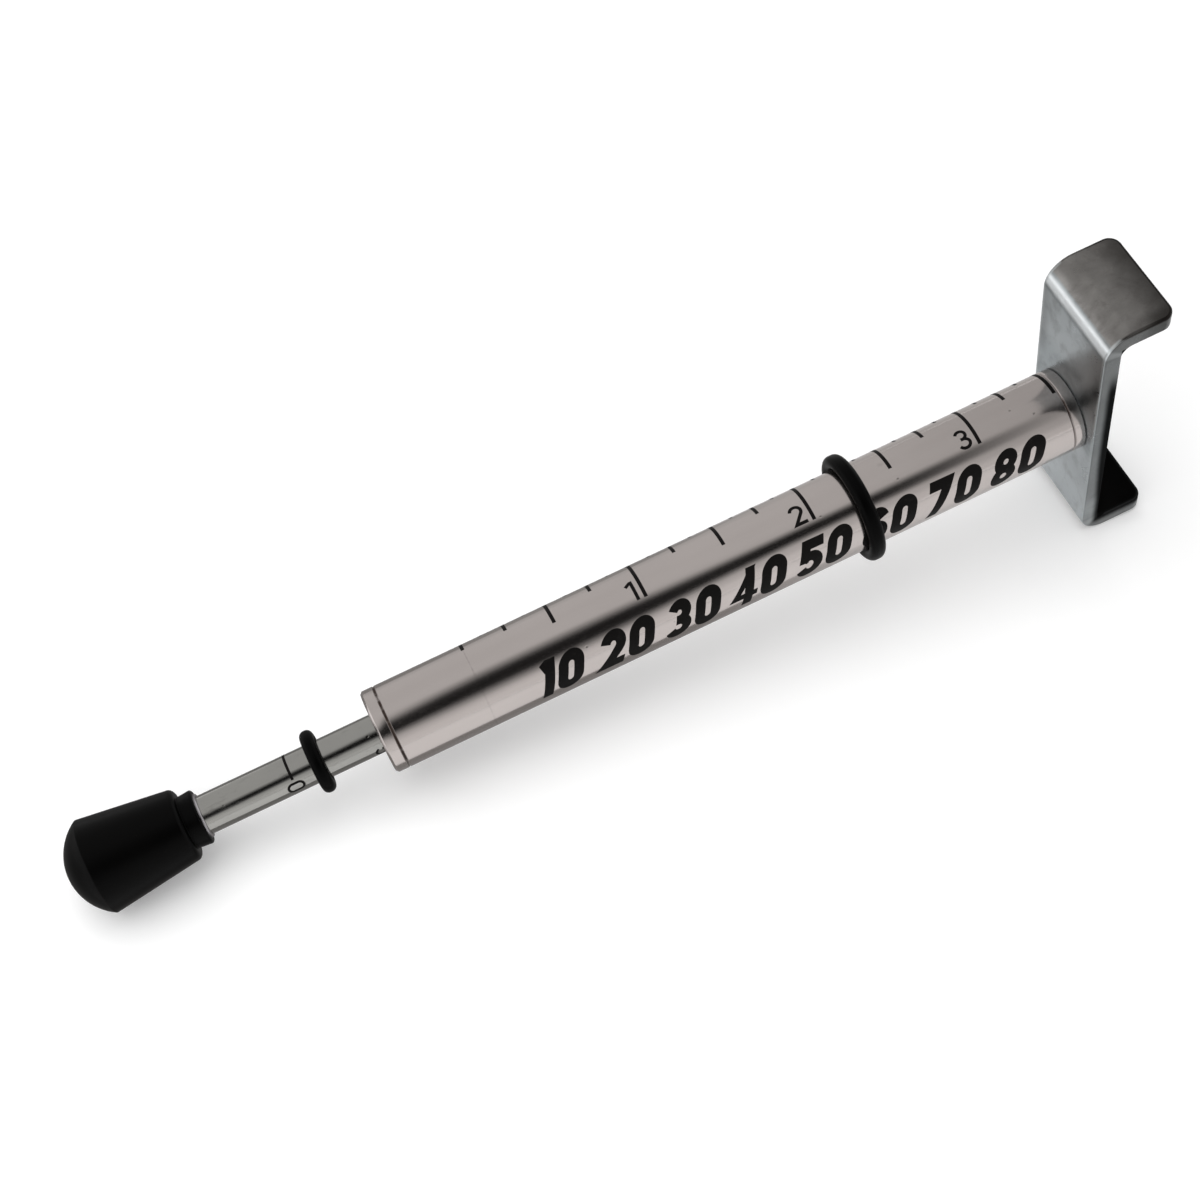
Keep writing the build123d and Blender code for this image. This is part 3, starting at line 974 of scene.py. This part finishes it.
def swept(cx, cy, rx, ry, start, end, steps=20):
    """Points along part of an ellipse, angles in degrees."""
    turns = [math.radians(start + (end - start) * k / steps) for k in range(steps + 1)]
    return [(cx + rx * math.cos(t), cy + ry * math.sin(t)) for t in turns]


def pen_strokes(digit, a, b, half):
    """A digit's strokes: their points, share of the pen's width and the heights that trim their ends.

    The pen's middle stays between (0, 0) and (a, b), and half is half of its width."""
    foot, head = -half, b + half
    if digit == "0":
        top = swept(a / 2, b - a / 2, a / 2, a / 2, 0, 180)
        low = swept(a / 2, a / 2, a / 2, a / 2, 180, 360)
        return [([*top, *low, top[0]], 1.0)]
    if digit == "1":
        top = (a - 0.47 * half, b + 0.15 * half)
        flag = [(0.0, top[1] - 0.62 * top[0]), top]
        return [([(a, foot), (a, head)], 1.0), (flag, 1.0)]
    if digit == "2":
        hook = swept(a / 2, 0.72 * b, a / 2, 0.28 * b, 168, -38)
        return [([*hook, (0.45 * half, 0.0), (a + half, 0.0)], 1.0)]
    if digit == "3":
        upper = swept(0.47 * a, 0.755 * b, 0.45 * a, 0.245 * b, 158, -90)
        lower = swept(0.49 * a, 0.255 * b, 0.51 * a, 0.255 * b, 90, -160)
        waist = (0.3 * a, 0.51 * b)
        return [([*upper, waist], 0.94), ([waist, *lower], 0.94)]
    if digit == "4":
        stem = 0.76 * a
        slope = [(stem - 0.12 * half, b), (-0.12 * a, 0.25 * b), (a + half, 0.25 * b)]
        return [([(stem, foot), (stem, head)], 0.94), (slope, 0.6, head)]
    if digit == "5":
        shoulder = [(0.94 * a + half, b), (0.14 * a, b), (0.05 * a, 0.42 * b)]
        return [(shoulder, 0.94), (swept(0.46 * a, 0.31 * b, 0.54 * a, 0.31 * b, 148, -158), 0.94)]
    if digit == "6":
        bowl = swept(a / 2, 0.29 * b, a / 2, 0.29 * b, 0, 360, 36)
        crown = swept(a / 2, b - a / 2, a / 2, a / 2, 18, 180)
        return [(bowl, 0.94), ([*crown, (0.0, 0.29 * b)], 0.94)]
    if digit == "7":
        return [([(foot, b), (a - 0.3 * half, b), (0.3 * a, 0.0)], 1.0, None, foot)]
    upper = swept(a / 2, 0.755 * b, 0.46 * a, 0.245 * b, 0, 360, 36)
    lower = swept(a / 2, 0.255 * b, a / 2, 0.255 * b, 0, 360, 36)
    return [(upper, 0.9), (lower, 0.9)]


def ribbon(points, half, start_cut=None, end_cut=None):
    """The four-cornered pieces of one stroke, mitred where it turns."""
    points = [Vector(p) for p in points]
    ways = [(q - p).normalized() for p, q in zip(points, points[1:])]
    ring = (points[0] - points[-1]).length < 1e-6
    sides = []
    for k, p in enumerate(points):
        before = ways[k - 1] if k or ring else ways[0]
        after = ways[k] if k < len(ways) else ways[0] if ring else ways[-1]
        across = Vector((-before.y - after.y, before.x + after.x)).normalized()
        across *= half / across.dot(Vector((-after.y, after.x)))
        sides.append([p - across, p + across])
    for cut, pair, way in ((start_cut, sides[0], ways[0]), (end_cut, sides[-1], ways[-1])):
        if cut is not None:
            pair[:] = [p + way * ((cut - p.y) / way.y) for p in pair]
    return [(r0, r1, l1, l0) for (r0, l0), (r1, l1) in zip(sides, sides[1:])]


def written(text, height, stroke, slant=0.0, width=0.65):
    """Numerals as a solid mesh in millimetres, standing on y = 0 with their left edge at x = 0."""
    work = bmesh.new()
    half, gap, at = stroke / 2, 0.085 * height, 0.0
    for digit in text:
        wide = height * (0.456 if digit == "1" else width)
        corners, pieces = [], []
        for points, share, *cuts in pen_strokes(digit, wide - stroke, height - stroke, half):
            for piece in ribbon(points, half * share, *cuts):
                pieces.append([len(corners) + k for k in range(4)])
                corners += piece
        # Cutting all pieces by each other and keeping what lies in any of them joins the strokes.
        flat, _, faces, _, _, sources = delaunay_2d_cdt(corners, [], pieces, 0, 1e-5)
        verts = [work.verts.new((at + half + p.x + slant * (p.y + half), p.y + half, INK_PROUD)) for p in flat]
        for face, source in zip(faces, sources):
            if source:
                work.faces.new([verts[k] for k in face])
        at += wide + gap
    loose = [v for v in work.verts if not v.link_faces]
    bmesh.ops.delete(work, geom=loose, context="VERTS")
    below = bmesh.ops.extrude_face_region(work, geom=work.faces[:])["geom"]
    below = [v for v in below if isinstance(v, bmesh.types.BMVert)]
    bmesh.ops.translate(work, vec=(0, 0, -INK_DEPTH), verts=below)
    return from_bmesh(work), at - gap


def wrapped(name, body, meshes, radius, axis, lay):
    """Joins flat numerals, cuts them into narrow bands across axis, and lays each point on a cylinder."""
    work = bmesh.new()
    for mesh in meshes:
        work.from_mesh(mesh)
    bmesh.ops.remove_doubles(work, verts=work.verts, dist=1e-5)
    bmesh.ops.triangulate(work, faces=work.faces)
    low = min(v.co[axis] for v in work.verts)
    high = max(v.co[axis] for v in work.verts)
    band = radius * math.radians(3.0)
    across = Vector((axis == 0, axis == 1, 0))
    for k in range(1, int((high - low) / band) + 1):
        bmesh.ops.bisect_plane(
            work,
            geom=[*work.verts, *work.edges, *work.faces],
            plane_co=across * (low + k * band),
            plane_no=across,
        )
    for v in work.verts:
        station, angle = lay(v.co)
        v.co = about_x(station, radius + v.co.z, angle)
    shown(name, from_bmesh(work), body, "scale_ink")


def on_barrel(arc_foot):
    """Upright numerals on the barrel: their feet at this arc from +Z, drifting with the scale."""
    return lambda co: (co.x, (arc_foot - co.y) / BARREL_R + (co.x - SCALE_ZERO) * SCALE_DRIFT)


def moved(mesh, x, y=0.0):
    mesh.transform(Matrix.Translation((x, y, 0)))
    return mesh


marks = []
for k in (1, 2, 3):
    mesh, width = written(str(k), height=3.1, stroke=0.48, width=0.66)
    marks.append(moved(mesh, SCALE_ZERO + k * INCH - 0.85 - width))
wrapped("inch_numerals", "barrel", marks, BARREL_R, 1, on_barrel(INCH_FOOT * BARREL_R))

marks = []
for k in range(1, 9):
    mesh, width = written(str(10 * k), height=5.9, stroke=1.5, slant=0.36)
    marks.append(moved(mesh, SCALE_ZERO - 0.6 + 10 * k - width / 2))
wrapped("millimetre_numerals", "barrel", marks, BARREL_R, 1, on_barrel(arc_foot=9.62))

marks = []
rod_digit = 2.55
for text, station, arc in (("0", -121.75, 3.45), ("5", -109.05, 4.4)):
    mesh, width = written(text, rod_digit, stroke=0.36)
    marks.append(moved(mesh, arc - width / 2, station - rod_digit / 2))
wrapped("rod_numerals", "plunger", marks, ROD_R, 0, lambda co: (co.y, co.x / ROD_R))


# ------------------------------------------------- CAD nodes with new finish

for node, slot in (
    ("rod_bush", "white_acetal"),
    ("spring_follower", "white_acetal"),
    ("stop_washer", "black_rubber"),
    ("rear_spring_washer", "plated_screw"),
    ("follower_washer", "plated_screw"),
    ("rod_clip", "spring_steel"),
):
    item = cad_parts[node]
    if not item.material_slots:
        item.data.materials.append(FINISHES[slot])
    for held in item.material_slots:
        held.material = FINISHES[slot]


# -------------------------------------------------------------------- studio
# Here lengths are in metres.


def staged(name, mesh, finish, glossy_only=False):
    """The floor, or a reflector that only mirror-like surfaces see."""
    mesh.materials.append(finish)
    item = placed(name, mesh)
    if glossy_only:
        item.visible_camera = item.visible_diffuse = item.visible_shadow = False
        item.visible_transmission = item.visible_volume_scatter = False
    return item


def sheet_mesh(across, along):
    work = bmesh.new()
    bmesh.ops.create_grid(work, x_segments=1, y_segments=1, size=0.5)
    bmesh.ops.scale(work, vec=(across, along, 1.0), verts=work.verts)
    return from_bmesh(work, outward=False)


def seen_white(graph):
    """1 where a camera, glossy or transmission ray looks, else 0."""
    kinds = ("Is Camera Ray", "Is Glossy Ray", "Is Transmission Ray")
    rays = [graph.add("ShaderNodeLightPath", out=kind) for kind in kinds]
    return graph.math("MINIMUM", rays[0] + rays[1] + rays[2], 1.0)


# The tool leans on its knob's rim and the lower bend of the cradle.
lean = math.radians(6.38)
on_floor = Matrix.Translation((-0.1504, 0, -0.00685)) @ Matrix.Rotation(lean, 4, "Y")
f = Finish("pale floor")
# The lamps fall off with distance, so the floor is lifted more where it is far from the tool.
far = f.ease(f.math("SQRT", (f.x + 0.08) * (f.x + 0.08) + f.y * f.y), 0.25, 1.1)
lift = f.add("ShaderNodeLightPath", out="Is Camera Ray") * (0.16 + 0.7 * far)
white = f.add("ShaderNodeBsdfDiffuse", {"Color": (0.88, 0.88, 0.88, 1.0)})
glow = f.add("ShaderNodeEmission", {"Color": (1.0, 1.0, 1.0, 1.0), "Strength": lift})
floor_finish = f.shade(f.add("ShaderNodeAddShader", {0: white, 1: glow}))
floor = sheet_mesh(6.0, 6.0)
floor.transform(on_floor)
staged("floor", floor, floor_finish)


def card(name, size, place, colour, share):
    """A flat reflector: size across its own X and Y, its light, and the share of it that is there."""
    f = Finish(name)
    lit = f.add("ShaderNodeEmission", {"Color": colour(f), "Strength": 1.0})
    clear = f.add("ShaderNodeBsdfTransparent")
    finish = f.shade(f.add("ShaderNodeMixShader", {0: share(f), 1: clear, 2: lit}))
    staged(name, sheet_mesh(*size), finish, glossy_only=True).matrix_world = place


# A tent arched over the tool's length, open at its knob end and dimmer toward the cradle.
# It is brighter low in front, and behind the tool it reaches down past the floor.
TENT_R = 0.6
f = Finish("tent cloth")
level = 0.67 - 0.18 * f.ease(f.x, 0.05, 0.25) + 0.18 * f.ease(f.z, 0.3, 0.12) * f.ease(f.y, -0.3, -0.5)
cloth = f.add("ShaderNodeEmission", {"Color": (1.0, 0.995, 0.985, 1.0), "Strength": level})
tent_finish = f.shade(cloth)
work = bmesh.new()
angles = [math.radians(-88 + 184 * k / 40) for k in range(41)]
left, right = (
    [work.verts.new((x, TENT_R * math.sin(a), TENT_R * math.cos(a))) for a in angles] for x in (-0.55, 0.42)
)
for k in range(40):
    work.faces.new((left[k], left[k + 1], right[k + 1], right[k]))
staged("tent", from_bmesh(work, outward=False), tent_finish, glossy_only=True)

# The dark opening in the tent behind which the camera stands, longer toward the cradle.
CAMERA_AT = Vector((-0.09966, -0.13152, 0.24043))


def opening_share(f):
    width = 0.125 - 0.055 * f.ease(f.x, 0.04, 0.11) - 0.055 * f.ease(f.x, 0.01, -0.04)
    out = abs(f.y + 0.15 * abs(f.x) + 0.75 * f.larger(-f.x, 0.0)) / width
    ends = f.ease(f.x, 0.205, 0.14) * f.ease(f.x, -0.17, -0.08)
    return f.ease(out, 1.75, 0.3) * ends


card(
    "camera_opening",
    (0.62, 0.6),
    Matrix.Translation(CAMERA_AT) @ Matrix.Rotation(math.radians(28.7), 4, "X"),
    lambda f: (0.01, 0.01, 0.01, 1.0),
    opening_share,
)

# A sheet on the floor that only mirror-like surfaces see, a painted reflection of the floor with the tool's
# painted shadow: dark from just in front of the tool to behind it, paler beyond and toward the cradle, and
# white past the knob. Under the tool it ends before the cradle, and behind the tool it goes on.


def cloth_colour(f):
    patch = f.ease(f.x, 0.045, 0.075) * f.ease(f.y, -0.488, -0.48)
    paler = f.mix(f.ease(f.x, 0.09, 0.13), (0.34, 0.337, 0.33), (0.6, 0.597, 0.59))
    shades = f.mix(patch, (0.28, 0.275, 0.27), paler)
    shades = f.mix(f.ease(f.y, -0.45, -0.44), shades, (0.585, 0.582, 0.575))
    return f.mix(f.ease(f.y, -0.462, -0.45) * f.ease(f.x, 0.02, -0.01), shades, (1.25, 1.25, 1.26))


def cloth_share(f):
    beside = f.ease(f.y, -0.494, -0.473) * f.ease(f.x, 0.24, 0.2)
    whole = f.larger(beside, f.ease(f.x, 0.131, 0.086))
    return f.ease(f.y + 0.0775 * f.x, -0.5237, -0.5217) * whole


# This sheet, named cloth, is the painted reflection of the floor with the tool's painted shadow.
place = on_floor @ Matrix.Translation((0.0, 0.512, 0.0012))
card("cloth", (1.2, 1.1), place, cloth_colour, cloth_share)

# A bright card beyond the tent's open end, square to the tool.
card(
    "end_card",
    (0.9, 1.1),
    Matrix.Translation((-0.95, 0.1, 0.2)) @ Matrix.Rotation(math.radians(90), 4, "Y"),
    lambda f: (1.25, 1.25, 1.25, 1.0),
    lambda f: f.ease(abs(f.y), 0.54, 0.5),
)

world = bpy.data.worlds.new("studio")
world.use_nodes = True
scene.world = world
w = Graph(world.node_tree)
world.node_tree.nodes.clear()
level = 0.5 + 0.5 * seen_white(w)
sky = w.add("ShaderNodeBackground", {"Color": (1.0, 1.0, 1.0, 1.0), "Strength": level})
w.add("ShaderNodeOutputWorld", {"Surface": sky})


def soft_lamp(name, at, size, power):
    """A square lamp that shines on the middle of the tool and shows in no reflection."""
    lamp = bpy.data.lights.new(name, "AREA")
    lamp.shape, lamp.size, lamp.energy = "SQUARE", size, power
    item = placed(name, lamp)
    at = Vector(at)
    turn = (at - Vector((-0.08, 0, 0))).to_track_quat("Z", "Y").to_matrix().to_4x4()
    item.matrix_world = Matrix.Translation(at) @ turn
    item.visible_glossy = False


soft_lamp("overhead_lamp", (-0.15, 0.15, 0.9), 1.0, 6.2)
soft_lamp("side_lamp", (-0.7, -0.3, 0.5), 0.6, 1.7)

# -------------------------------------------------------------------- camera

lens = bpy.data.cameras.new("camera")
lens.lens, lens.sensor_width, lens.sensor_fit = 59.92, 36.0, "HORIZONTAL"
lens.clip_start, lens.clip_end = 0.01, 20.0
camera = placed("camera", lens)
# The picture's right and up, as fitted to the photograph.
right = Vector((0.9002, -0.4141, -0.1355))
up = Vector((0.4254, 0.7680, 0.4789))
back = right.cross(up).normalized()
up = back.cross(right).normalized()
right = up.cross(back)
turn = Matrix((right, up, back)).transposed()
camera.matrix_world = Matrix.Translation(CAMERA_AT) @ turn.to_4x4()
scene.camera = camera

scene.view_settings.view_transform = "Standard"

bpy.context.view_layer.update()
